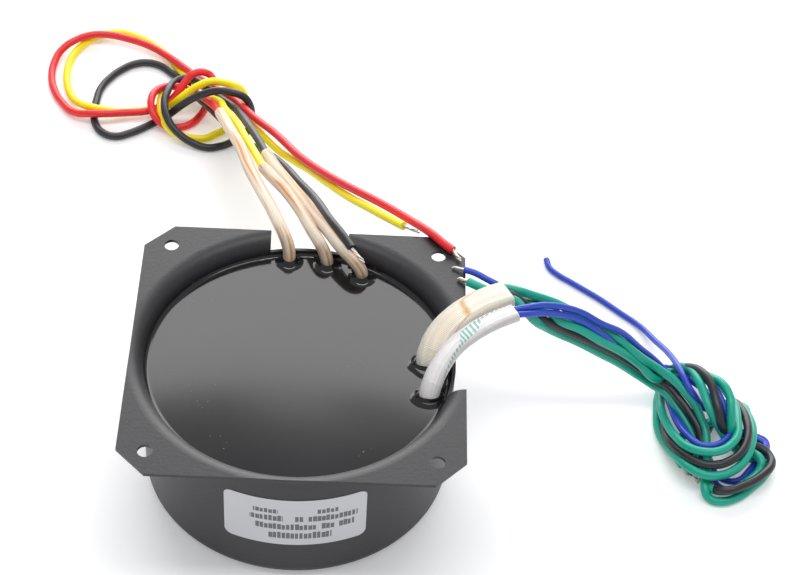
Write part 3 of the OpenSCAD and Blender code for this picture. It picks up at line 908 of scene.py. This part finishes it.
@dataclass
class PrimaryLeads:
    """The red, yellow and black leads, knotted together behind the can."""

    diameter: float = 2.8 * MM
    sleeve: float = 4.0 * MM
    red_rise: tuple[Point, ...] = (
        (-5, 43, 40), (-5, 43, 43), (-5.3, 44.5, 46.8), (-6.5, 47.5, 48.4), (-8.5, 53, 48.2),
        (-12, 63.5, 46), (-16.5, 77.5, 41.5), (-21, 92, 37), (-25, 108.5, 31),
        (-29.5, 123.5, 25), (-34.5, 140.5, 18),
    )
    yellow_rise: tuple[Point, ...] = (
        (7, 42, 40), (7, 42, 43), (6.3, 42.8, 46.4), (4.8, 45, 48.2), (1.8, 51.3, 48.2),
        (-2.5, 62.3, 46.5), (-7.5, 74, 43.5), (-12, 83.5, 40), (-16, 92.5, 36.5),
    )
    black_rise: tuple[Point, ...] = (
        (18, 37.3, 40), (18, 37.3, 43), (17.5, 37, 46), (15.5, 38.3, 48.3), (11.5, 42.8, 49.2),
        (6.5, 51.2, 49), (2, 59.8, 47.3), (-2, 68.5, 45), (-8, 83.5, 39.5), (-11.5, 93, 35.5),
        (-16, 106, 30.5),
    )
    red_run: tuple[Point, ...] = (
        (-40, 153.5, 12), (-45, 161.5, 8.5), (-51, 167, 6.5), (-56, 167, 6.5),
        (-59.5, 163.5, 7.5), (-61, 158.5, 8), (-60.5, 153.5, 7), (-58.5, 150.5, 5),
        (-54.5, 149.5, 2.5), (-50, 150.5, 1.5), (-46.5, 152.5, 1.5), (-43.5, 157, 1.5),
        (-41.5, 163.5, 1.5), (-40.5, 168.5, 2), (-39, 170, 5), (-40, 170.5, 9),
        (-41.5, 169.5, 11.5), (-44, 169, 12.5), (-46, 168, 12.5), (-48.5, 166.5, 11),
        (-51, 163.5, 8.5), (-54, 161, 5.5), (-60, 156.5, 4.4), (-72, 153.5, 4.5),
        (-81, 152.5, 4.5), (-89, 155, 2.5), (-94.5, 161.5, 1.5), (-98, 168, 1.5),
        (-100, 175.5, 1.5), (-100, 183, 2), (-98, 189.5, 3), (-93.5, 194, 4.2),
        (-87.5, 197.5, 4.4), (-81.5, 198, 4.4), (-75, 196.5, 4.4), (-65, 192, 4.6),
        (-57, 185.5, 5), (-50.5, 179, 5.4), (-46, 173.5, 6.5), (-42, 169.5, 7),
        (-36.5, 163.5, 8.5), (-31.5, 157, 11), (-27, 148.5, 14), (-22, 138.5, 18),
        (-14, 125, 23), (-4.5, 107, 29), (4.5, 93, 34.5), (13, 82, 39), (23, 70.5, 43.5),
        (32.5, 59, 47.5), (39.5, 50, 50.4), (43, 46, 50.5), (46, 43, 50.5),
    )
    yellow_run: tuple[Point, ...] = (
        (-20, 105.5, 31.5), (-24, 118.5, 26.5), (-28, 131, 22), (-33, 143, 17.5),
        (-36, 152.5, 13), (-40, 157, 10.5), (-45, 161, 8), (-50.5, 165.5, 6),
        (-55.5, 169, 4.8), (-57.5, 165, 5), (-58, 158, 5), (-56.5, 151.5, 5),
        (-54, 147.5, 3.5), (-50.5, 146, 2), (-46, 145, 1.5), (-40.5, 145, 1.5),
        (-37, 147.5, 1.5), (-34, 150, 1.5), (-30.5, 156, 1.6), (-28, 161.5, 3),
        (-27.5, 163.5, 6), (-29, 164.5, 9), (-32, 163.5, 11.5), (-35.5, 163, 13),
        (-40, 162.5, 13.5), (-43.5, 161.5, 12.5), (-47, 160.5, 10.5), (-50.5, 159, 8),
        (-53.5, 159, 5), (-60, 160, 1.8), (-71, 157.5, 1.8), (-77, 156.3, 3),
        (-82.5, 156, 4.4), (-87.5, 159.5, 3), (-91.5, 165.5, 1.5), (-93.5, 171, 1.5),
        (-94.5, 177, 1.5), (-94.5, 183.5, 1.5), (-93.5, 189, 1.5), (-91, 194.5, 1.5),
        (-87.5, 199, 1.5), (-83, 202, 1.5), (-77.5, 203, 1.5), (-71, 201, 1.5),
        (-63.5, 196, 1.5), (-58, 190, 1.5), (-53.5, 182, 2.2), (-49.5, 175.5, 4),
        (-45, 171, 5), (-39.5, 165, 6.5), (-33, 157, 9), (-26.5, 146, 11.5),
        (-20.5, 134, 16), (-16.5, 126, 18.5), (-12, 118, 21), (-6.5, 109.5, 24.5),
        (-1, 101.5, 28), (6, 90.5, 32.2), (13, 79.5, 36.8), (19.5, 70.5, 41),
        (26, 61.5, 45.2), (30.5, 55.5, 48),
    )
    black_run: tuple[Point, ...] = (
        (-20, 118, 27), (-24, 129.5, 23), (-27.5, 140, 18.5), (-31, 149, 14),
        (-35.5, 154.5, 12.5), (-40.5, 162.5, 10), (-44.5, 169, 7.6), (-48, 172, 6.8),
        (-51, 171.5, 6.8), (-54, 168.5, 7), (-55.5, 162, 8.5), (-56, 155, 8.5),
        (-54, 148, 7), (-50.5, 144, 4.8), (-45.5, 141.5, 2.5), (-39.5, 140, 1.5),
        (-35, 141, 1.5), (-31, 143.5, 1.5), (-27, 146.5, 2.5), (-24, 148, 6), (-24, 150, 10),
        (-25, 151, 14), (-27, 151.5, 16.5), (-31, 152, 17.8), (-36, 153, 17.5),
        (-41, 153.5, 15.5), (-46, 153.5, 12.5), (-50, 153.5, 9), (-53.5, 153.5, 5.5),
        (-56, 153.5, 3), (-59.5, 152.5, 1.5), (-63, 149.5, 1.5), (-68, 146, 1.5),
        (-73, 144, 1.5), (-77.5, 145.5, 1.5), (-80.5, 149.5, 1.5), (-82, 156, 1.5),
        (-82, 162.5, 1.5), (-81, 170.5, 1.5), (-78, 177, 1.5), (-74, 182, 1.5),
        (-70, 185, 1.5), (-65.5, 186, 1.5), (-60.5, 184.5, 1.5), (-56, 180.5, 1.5),
        (-51.5, 175, 2.8), (-47.5, 168.5, 4), (-44, 162.5, 5), (-40, 156, 7),
        (-36.5, 149.5, 9), (-32, 140.5, 12), (-27, 129.5, 16), (-23, 123, 19),
        (-18, 115, 23.5), (-13, 106, 28.5), (-7.5, 93.5, 34.5), (-4, 84, 38.8),
        (0.5, 73.5, 43.3), (4, 63.5, 47.6), (7, 55, 50.3), (11, 47.5, 51.4),
        (14.5, 41.2, 51.2),
    )
    red_tip: Point = (48.5, 39, 49.8)
    yellow_tip: Point = (35.5, 51, 49.9)
    black_tip: Point = (18.5, 37.5, 48.8)
    strand: float = 0.3
    twist: float = 4.0

    def build(
        self,
        finishes: dict[LeadColour, bpy.types.Material],
        tinned: bpy.types.Material,
        resin: bpy.types.Material,
    ) -> None:
        """Draws the three sleeves and the three leads, with their bared ends and menisci.

        Args:
            finishes: The material of each colour of insulation.
            tinned: The bare strands' material.
            resin: The resin's material.
        """
        braid = Braid("varnished_sleeve_primary")
        for name, rise, run, tip, length in (
            ("red", self.red_rise, self.red_run, self.red_tip, 0.54),
            ("yellow", self.yellow_rise, self.yellow_run, self.yellow_tip, 0.539),
            ("black", self.black_rise, self.black_run, self.black_tip, 0.531),
        ):
            sleeve = Sleeve(
                f"primary_sleeve_{name}", list(rise), self.sleeve, self.sleeve, braid
            ).build()
            strands = BareEnd(f"{name}_tip", run[-1], tip, self.strand, self.twist).build(tinned)
            Lead(
                f"{name}_wire",
                LeadColour[name.upper()],
                self.diameter,
                length,
                [*rise, *run],
                (f"{name}_lead", f"{name}_lead_loop", f"{name}_lead_end", "primary_knot"),
                [sleeve, strands],
            ).build(finishes)
            Meniscus(f"meniscus_{name}", rise[0], self.sleeve / MM, self.sleeve / MM).build(resin)


@dataclass
class SecondaryLeads:
    """The two green leads, the black centre tap and the two blue leads, and their knot."""

    diameter: float = 2.8 * MM
    thin: float = 2.1 * MM
    wide_rise: tuple[Point, ...] = (
        (39.8, 1, 40), (39.8, 1.5, 43.5), (40.5, 4, 46.5), (43, 8.5, 49.5), (47.5, 13, 51.8),
        (52, 17, 52.2), (57, 20.5, 52.2), (62.5, 23.5, 52),
    )
    striped_rise: tuple[Point, ...] = (
        (39.2, -12, 40), (39.2, -11.5, 43.5), (40, -9, 46), (42, -4.5, 48.2), (46, 1.5, 50.5),
        (51, 6, 52), (57.5, 10.5, 53), (64.5, 14.5, 53.2),
    )
    wide: tuple[float, float] = (4.0, 9.6)
    striped: tuple[float, float] = (3.3, 6.3)
    twist: float = 3.5
    wide_braid: Braid = Braid(
        "varnished_sleeve_wide",
        colour=(1.0, 0.96, 0.85),
        stain=(0.7, 0.36, 0.06),
        amount=0.25,
        length=38 * MM,
        girth=24 * MM,
        painted_fold_shading=0.15,
        turns=28.0,
        slash=1.0,
        streaks=0.3,
    )
    striped_braid: Braid = Braid(
        "striped_sleeve",
        colour=(0.98, 0.96, 0.97),
        stain=(0.42, 0.38, 0.34),
        amount=0.12,
        length=45 * MM,
        girth=17 * MM,
        painted_fold_shading=0.3,
        turns=22.0,
        streaks=0.4,
        tracer=(0.05, 0.5, 0.42),
    )
    tips: dict[str, tuple[str, Point]] = field(
        default_factory=lambda: {
            "green_wire_1": ("green_tip_1", (47.5, 31.5, 49.7)),
            "centre_tap_wire": ("centre_tap_tip", (126, -6, 0.9)),
            "green_wire_2": ("green_tip_2", (123, -3, 0.9)),
            "blue_wire_1": ("blue_tip_1", (45.8, 36.5, 49.6)),
            "blue_wire_2": ("blue_tip_2", (81, 94.5, 0.8)),
        }
    )

    def build(
        self,
        finishes: dict[LeadColour, bpy.types.Material],
        tinned: bpy.types.Material,
        resin: bpy.types.Material,
    ) -> None:
        """Draws the two sleeves and the five leads, with their bared ends and menisci.

        Args:
            finishes: The material of each colour of insulation.
            tinned: The bare strands' material.
            resin: The resin's material.
        """
        high, across = self.wide
        wide = Sleeve(
            "secondary_sleeve_wide", list(self.wide_rise), high * MM, across * MM, self.wide_braid
        ).build()
        high, across = self.striped
        striped = Sleeve(
            "secondary_sleeve_striped",
            list(self.striped_rise),
            high * MM,
            across * MM,
            self.striped_braid,
        ).build()
        for lead in self.leads():
            thick = lead.diameter > self.thin
            tip, end = self.tips[lead.name]
            strand = 0.3 if thick else 0.22
            strands = BareEnd(tip, lead.points[-1], end, strand, self.twist).build(tinned)
            lead.pieces = [wide if thick else striped, strands]
            lead.build(finishes)
        for name, rise, (high, across) in (
            ("meniscus_wide", self.wide_rise, self.wide),
            ("meniscus_striped", self.striped_rise, self.striped),
        ):
            Meniscus(name, rise[0], across, high).build(resin)

    def leads(self) -> list[Lead]:
        """Lists the leads, each with its route.

        Returns:
            The five leads, not yet drawn.
        """
        wide_foot = [(39.8, 1.5, 43.5), (40.5, 4, 46.5), (43, 8.5, 49.5), (47.5, 13, 51.8)]
        return [
            Lead(
                "green_wire_1", LeadColour.GREEN, self.diameter, 0.44,
                [
                    (37, 1.5, 40), (37, 1.5, 43.5), (37.8, 5.5, 46.5), (41, 10.5, 49.5),
                    (45.8, 15.2, 51.8), (50.5, 19.3, 52.2), (55.5, 22.9, 52.2), (61, 25.9, 52),
                    (66, 25.8, 51.2), (70, 26, 49.5), (74.5, 26.8, 47), (79.5, 27.5, 44),
                    (86, 27, 40), (93, 27, 35), (100, 26.3, 30), (107, 26, 23.5),
                    (113, 26.5, 18), (119, 24.5, 14.5), (122.5, 21.5, 12.5), (125.5, 18.5, 10.5),
                    (127.5, 14.5, 8.5), (129, 10, 6.5), (129, 5.5, 5), (129, 0, 3.5),
                    (128, -6.5, 4), (127.5, -10.5, 3),
                    (129, -12.5, 1.5), (132, -13.5, 1.5), (137, -12, 1.5), (142.5, -7.5, 1.5),
                    (147, -2.5, 1.5), (148.5, 1, 1.5), (146.5, 3, 1.5), (142.5, 5, 1.5),
                    (139, 6.5, 3), (135.5, 7, 7), (133.5, 8, 9.5), (131, 10.5, 12.5),
                    (129, 13.5, 15), (127.5, 18.5, 16.5), (126, 24, 16.5), (124.5, 30, 14),
                    (121.5, 35, 9.5), (118.5, 36, 5), (116.5, 32.5, 3), (116, 27.5, 3),
                    (116, 20.5, 4), (117, 14, 5.5), (119, 6.5, 8), (122, 1, 10), (126.5, -2, 11.5),
                    (131, -2, 12), (135, 1, 11.5), (138, 6, 11), (138.5, 10.5, 10.5),
                    (139, 18, 9), (138, 26, 6.5), (135.5, 33, 4.5), (131, 37.5, 4),
                    (126.5, 38.5, 4), (121.5, 34.5, 7.5), (117, 30, 12), (113, 25, 14.5),
                    (107, 25.5, 20.5),
                    (100, 23.9, 28), (93, 22.3, 34), (86, 22, 39.3), (79.5, 21.7, 43),
                    (77, 22.9, 44.4), (74.5, 24, 45.3), (70, 25.5, 46.2), (64, 26, 47.4),
                    (59, 26.5, 48.7), (55, 27.5, 50), (50.5, 29.5, 50.6),
                ],
                ("green_lead_1", "green_lead_1_end", "secondary_knot"),
            ),
            Lead(
                "centre_tap_wire", LeadColour.BLACK, self.diameter, 0.364,
                [
                    (39.8, 1.5, 40), *wide_foot, (52, 17, 52.2), (57, 20.5, 52.2),
                    (62.5, 23.5, 52), (67, 22, 50.3), (70.5, 21.5, 47), (74.5, 21, 43.7),
                    (79.5, 21.7, 40), (86, 22, 36), (93, 23, 31), (100, 24.5, 25),
                    (107, 26.4, 17.7), (113, 27, 12.2), (117.5, 25, 11), (121, 20.5, 10),
                    (124, 16.5, 8.5), (126.5, 12, 7),
                    (127.5, 8.5, 5), (128, 4, 2.6), (128, -1, 1.5), (129.5, -6.5, 1.5),
                    (132.5, -12, 5), (140, -9.5, 5.5), (146, -5, 5.5), (149, -0.5, 4.8),
                    (149, 3.5, 4), (147.5, 6, 4), (143.5, 7, 5), (139, 7.5, 6), (135.5, 8, 8.5),
                    (133, 8.5, 12), (132, 11, 15), (131, 15, 17), (130, 20, 18),
                    (127.5, 26, 17.5), (124.5, 31, 14), (121.5, 35.5, 7), (118, 35, 1.5),
                    (116.5, 27.5, 1.5), (116.5, 20, 1.5), (116.5, 12.5, 3), (118, 5, 6),
                    (121.5, -1, 8), (125.5, -4.5, 9), (130, -5.5, 9.5), (135, -3.5, 9.5),
                    (139, 0.5, 9.5), (141.5, 6.5, 9.5), (142, 13, 9), (141, 20.5, 7),
                    (139, 25.5, 4), (135.5, 25, 1.5), (132, 18, 1.5), (129, 12, 1.5),
                    (126, 8, 1.5), (123.5, 4, 1.5), (124, 0.5, 1.5), (124.8, -2.5, 1.5),
                ],
                ("centre_tap_lead", "centre_tap_lead_end", "secondary_knot"),
            ),
            Lead(
                "green_wire_2", LeadColour.GREEN, self.diameter, 0.369,
                [
                    (42.6, 1.5, 40), (42.6, 1.5, 43.5), (43, 2.5, 46.5), (45, 6.6, 49.5),
                    (49.2, 10.8, 51.8), (53.6, 14.7, 52.2), (58.5, 18.1, 52.2), (64, 21.1, 52),
                    (68.5, 18.3, 49.6), (71.5, 18.2, 46), (75, 20.8, 40.9), (79.5, 22, 37),
                    (86, 22.5, 33), (93, 23, 28), (100, 24.5, 22), (107, 26.3, 14.8),
                    (113, 27, 9.3), (117, 24.5, 8.5), (120.5, 19.5, 7), (123.5, 14.5, 5.3),
                    (126, 9.5, 3.2), (127, 4.5, 1.6), (127.5, -3.5, 1.5), (129.5, -9.8, 3.2),
                    (135, -10.3, 3.2),
                    (141.5, -6, 3), (145.5, -1.5, 3.2), (146, 1, 4.5), (143.5, 4.5, 4.5),
                    (140, 7, 4.5), (136.5, 7.5, 8.5), (136, 9, 12), (136, 12.5, 15),
                    (135.5, 17, 17), (133.5, 21.5, 17.5), (131, 25.5, 15.5), (127.5, 30.5, 12),
                    (124, 36, 7), (120, 37, 2), (116.5, 31, 1.5), (115, 22.5, 1.5),
                    (115, 14, 1.5), (117, 6.5, 3), (119.5, 0, 5.5), (122.5, -5, 7),
                    (127, -8, 7.5), (131.5, -8, 7.5), (136.5, -5.5, 7.5), (140, -1.5, 7.5),
                    (142.5, 4, 7.5), (144, 11.5, 7), (143.5, 19.5, 5), (142, 26, 2),
                    (138, 25.5, 1.5), (132.5, 17.5, 4.4), (127, 13.5, 4.4), (122, 11, 3),
                    (119.5, 7.5, 1.5), (120, 4, 1.5), (121.5, 0.5, 1.5),
                ],
                ("green_lead_2", "green_lead_2_end", "secondary_knot"),
            ),
            Lead(
                "blue_wire_1", LeadColour.BLUE, self.thin, 0.416,
                [
                    (38, -11.5, 40), (38, -11.5, 43.5), (39, -8.3, 46), (41.2, -3.8, 48.2),
                    (45.3, 2.3, 50.5), (50.4, 6.9, 52), (57, 11.5, 53), (64, 15.5, 53.2),
                    (69.5, 17.5, 53), (74, 20, 51.3), (79.5, 22.3, 48.5), (86, 24.5, 44.2),
                    (93, 25.2, 38.8), (100, 27.3, 33), (107, 28.8, 24.5), (113, 29.3, 18),
                    (119.5, 27, 11.6), (123, 24, 9.6), (126, 20.5, 7.7), (128, 16.5, 5.8),
                    (129.5, 12, 3.8), (130, 7.5, 1.8), (130.5, 2, 1.2), (131, -3, 1.2),
                    (132, -7, 1.2), (135, -8.5, 1.2),
                    (140, -6, 1.2), (144, -1, 1.2), (147.5, 4.5, 1.2), (149, 8.5, 1.2),
                    (149, 12, 1.2), (146.5, 13, 2), (142.5, 12.5, 4), (138, 11.5, 8),
                    (135.5, 12, 12), (133.5, 16, 15), (131.5, 20.5, 16), (129, 24.5, 15.5),
                    (126, 30, 12), (123.5, 34.5, 7), (120, 33, 4), (118.5, 27, 4.5),
                    (119, 19.5, 6), (120, 13, 7.5), (122.5, 6.5, 9), (126, 2, 10),
                    (130, 1.5, 10.5), (134, 4.5, 10), (136.5, 9, 9.5), (136, 16.5, 8),
                    (134, 23.5, 6), (131, 30, 4), (127, 34.5, 3.5), (122.5, 36, 5.5),
                    (118, 35, 9), (113, 29.5, 12.7), (107, 29, 18.2), (100, 28, 25),
                    (93, 26, 32.5), (86, 25.5, 38), (79.5, 25.7, 41.8), (76.5, 26.5, 43.4),
                    (72, 28.3, 44.9), (67, 29, 46.6), (62, 29.8, 48.2), (57.5, 31.5, 49.3),
                    (52.5, 34, 50.1), (49.5, 35, 50.2),
                ],
                ("blue_lead_1", "blue_lead_1_end", "secondary_knot"),
            ),
            Lead(
                "blue_wire_2", LeadColour.BLUE, self.thin, 0.389,
                [
                    (40.3, -11.5, 40), (40.3, -11.5, 43.5), (41, -9.8, 46), (42.8, -5.3, 48.2),
                    (46.7, 0.8, 50.5), (51.5, 5.2, 52), (58, 9.6, 53), (65, 13.6, 53.2),
                    (69.5, 15.3, 52.2), (74, 18.2, 49.8), (79.5, 21, 46.5), (86, 23, 42),
                    (93, 23.7, 35.8), (97, 24.4, 31.2), (100, 26.6, 26.7), (107, 29.3, 20.6),
                    (113, 29.8, 15.1), (118, 27, 8.3), (121.5, 22.5, 7.2), (124.5, 18.5, 5.8),
                    (127, 14, 4.3), (128.5, 10, 2.3), (129.5, 5, 1.1), (131, -0.5, 1.1),
                    (134.5, -4.5, 1.1),
                    (138.5, -4.5, 1.1), (142.5, -0.5, 1.1), (146, 4.5, 1.5), (148, 6.5, 3.2),
                    (147.5, 10, 3.2), (143.5, 11, 4), (139.5, 10.5, 6.5), (136, 11, 10),
                    (134.5, 13.5, 13.5), (132.5, 18.5, 15), (130.5, 23.5, 14.5), (128, 29.5, 11),
                    (125, 35, 6), (121.5, 32, 3.5), (119.5, 25.5, 4), (120.5, 18.5, 5),
                    (122, 11.5, 6.5), (124.5, 5.5, 8), (128, 2, 9), (132, 2.5, 9),
                    (135, 6.5, 8.5), (137, 12, 8), (135.5, 17.5, 6.5), (132, 20.5, 5.5), (128.5, 19.5, 8),
                    (126, 19.5, 12), (123, 22.5, 15), (121, 29, 15), (119, 41, 9.5),
                    (116, 51, 4.5), (112, 60, 1.5), (105.5, 66.5, 1.1), (99, 72.5, 1.1),
                    (94, 76.5, 1.1), (89.5, 80, 1.1), (85, 83.5, 1.1), (82.5, 86.5, 1.1),
                    (81.5, 90.5, 1.1),
                ],
                ("blue_lead_2", "blue_lead_2_end", "secondary_knot"),
            ),
        ]


@dataclass
class Lamp:
    """A soft rectangular light. Its places and sides are in metres, its power in watts."""

    name: str
    place: Point
    aim: Point
    sides: tuple[float, float]
    power: float

    def build(self) -> None:
        """Adds the light."""
        deselect()
        bpy.ops.object.light_add(type="AREA", location=self.place)
        light = bpy.context.object
        light.name = self.name
        light.data.shape = "RECTANGLE"
        light.data.size, light.data.size_y = self.sides
        light.data.energy = self.power
        away = Vector(self.place) - Vector(self.aim)
        light.rotation_euler = away.to_track_quat("Z", "Y").to_euler()


@dataclass
class Studio:
    """The camera, the floor and the lights. Angles are in degrees, and places in metres."""

    azimuth: float = -1.697
    elevation: float = 45.668
    roll: float = 3.601
    distance: float = 0.64278
    target: Point = (0.029791, 0.027259, 0.049)
    lens: float = 94.13
    sensor: float = 36.0
    floor_side: float = 12.0
    lamps: tuple[Lamp, ...] = (
        Lamp("light_behind", (0.05, 1.35, 0.65), (0.05, 0.0, 0.04), (1.4, 1.4), 24.0),
        Lamp("light_over", (0.1, -0.1, 1.6), (0.1, -0.099, 0.0), (1.7, 0.3), 11.0),
    )

    def camera(self) -> None:
        """Sets up the camera."""
        az, el, roll = (math.radians(a) for a in (self.azimuth, self.elevation, self.roll))
        back = Vector((math.sin(az) * math.cos(el), -math.cos(az) * math.cos(el), math.sin(el)))
        right = Vector((0, 0, 1)).cross(back).normalized()
        up = back.cross(right)
        turned_right = right * math.cos(roll) + up * math.sin(roll)
        turned_up = up * math.cos(roll) - right * math.sin(roll)
        turn = Matrix((turned_right, turned_up, back)).transposed()
        bpy.ops.object.camera_add(
            location=Vector(self.target) + back * self.distance, rotation=turn.to_euler()
        )
        camera = bpy.context.object
        camera.data.lens = self.lens
        camera.data.sensor_width = self.sensor
        camera.data.clip_start = 0.05
        bpy.context.scene.camera = camera

    def floor(self) -> None:
        """Lays the floor, under the can and the leads."""
        deselect()
        bpy.ops.mesh.primitive_plane_add(size=self.floor_side, location=(0, 0, 0))
        floor = bpy.context.object
        floor.name = "floor"
        floor.data.materials.append(WhiteFloor().material())

    def build(self) -> None:
        """Sets up the camera, the floor, the lights and the white surroundings."""
        self.camera()
        self.floor()
        for lamp in self.lamps:
            lamp.build()
        bpy.context.scene.world = Surroundings().world()
        bpy.context.scene.view_settings.view_transform = "Standard"
        log.info("studio: camera, floor and %d lights", len(self.lamps))


def main() -> None:
    """Builds the scene."""
    logging.basicConfig(level=logging.INFO)
    Studio().build()
    finishes = {colour: Pvc(colour).material() for colour in LeadColour}
    tinned = TinnedCopper().material()
    resin = Resin().material()
    PottedCan(frame["nodes"]).dress(resin)
    log.info("can, resin and label")
    PrimaryLeads().build(finishes, tinned, resin)
    log.info("primary leads")
    SecondaryLeads().build(finishes, tinned, resin)
    log.info("secondary leads")


if __name__ == "__main__":
    main()
